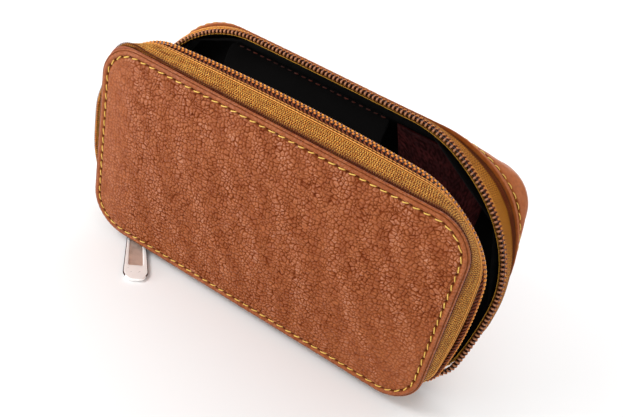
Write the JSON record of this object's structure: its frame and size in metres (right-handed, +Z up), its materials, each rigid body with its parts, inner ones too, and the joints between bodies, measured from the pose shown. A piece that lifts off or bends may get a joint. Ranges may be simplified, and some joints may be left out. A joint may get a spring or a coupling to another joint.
{
  "type": "multi glasses organizer",
  "caption": "Zip-round eyewear case in pebbled tan leather with two moulded halves, a leather spine and a padded divider for several pairs of glasses.",
  "frame": {"origin": "middle of the spine's fold line, on the surface the case stands on", "axes": "+X along the spine, +Z up, the front face towards -Y; the halves stand ajar, the front one leaning 2.5 degrees forward and the back one 15 degrees back"},
  "size_m": [0.1772, 0.0845, 0.0961],
  "materials": {
    "tan_leather": "pebbled full-grain leather, satin",
    "tan_leather_edge": "darker burnished leather edge",
    "yellow_thread": "waxed yellow polyester thread",
    "zip_tape": "golden brown woven zip tape",
    "zip_coil": "brown nylon coil, slightly glossy",
    "nickel": "polished nickel plate",
    "foam": "thin padding foam, hidden",
    "fibreboard": "pressed fibre board, hidden",
    "black_lining": "black woven lining",
    "dark_leather": "dark oxblood grained leather",
    "hem_thread": "reddish brown thread"
  },
  "bodies": {
    "back_half": {"back_leather_shell": "tan_leather", "back_foam_pad": "foam", "back_stiffener_board": "fibreboard", "back_lining": "black_lining", "back_stitching": "yellow_thread", "back_zip_tape": "zip_tape", "back_zip_coil": "zip_coil", "back_zip_end_stop": "nickel", "pocket_panel": "black_lining", "pocket_hem_stitching": "hem_thread", "inner_leather_patch": "dark_leather", "spine_leather_back": "tan_leather"},
    "front_half": {"front_leather_panel": "tan_leather", "front_edge_band": "tan_leather_edge", "front_stitching": "yellow_thread", "front_foam_pad": "foam", "front_stiffener_board": "fibreboard", "front_lining": "black_lining", "front_zip_tape": "zip_tape", "front_zip_coil": "zip_coil", "front_zip_end_stop": "nickel", "zip_bottom_stop": "nickel", "spine_leather_front": "tan_leather"},
    "divider": {"divider_panel": "black_lining", "divider_binding": "dark_leather"},
    "slider": {"zip_slider_body": "nickel", "zip_slider_bridge": "nickel"},
    "pull": {"pull_tab": "nickel"}
  },
  "joints": [
    {"name": "case_hinge", "type": "hinge", "parent": "back_half", "child": "front_half", "pos_m": [0, 0, 0], "axis": [1, 0, 0], "range_deg": [-17.5, 92.5], "stiffness_Nm_per_rad": 1.2},
    {"name": "divider_swing", "type": "hinge", "parent": "back_half", "child": "divider", "pos_m": [0, 0, 0], "axis": [1, 0, 0], "range_deg": [-8.75, 46.25]},
    {"name": "zip_slider_travel", "type": "hinge", "parent": "front_half", "child": "slider", "pos_m": [-0.053, -0.00131, 0.02997], "axis": [0, 0.999, 0.0436], "range_deg": [0, 46]},
    {"name": "pull_drop", "type": "hinge", "parent": "slider", "child": "pull", "pos_m": [-0.06869, -0.00078, 0.00417], "axis": [0.766, 0.6428, 0], "range_deg": [0, 40]}
  ],
  "couplings": [
    {"joint": "divider_swing", "follows": "case_hinge", "ratio": 0.5},
    {"joint": "pull_drop", "follows": "zip_slider_travel", "ratio": 0.85}
  ]
}
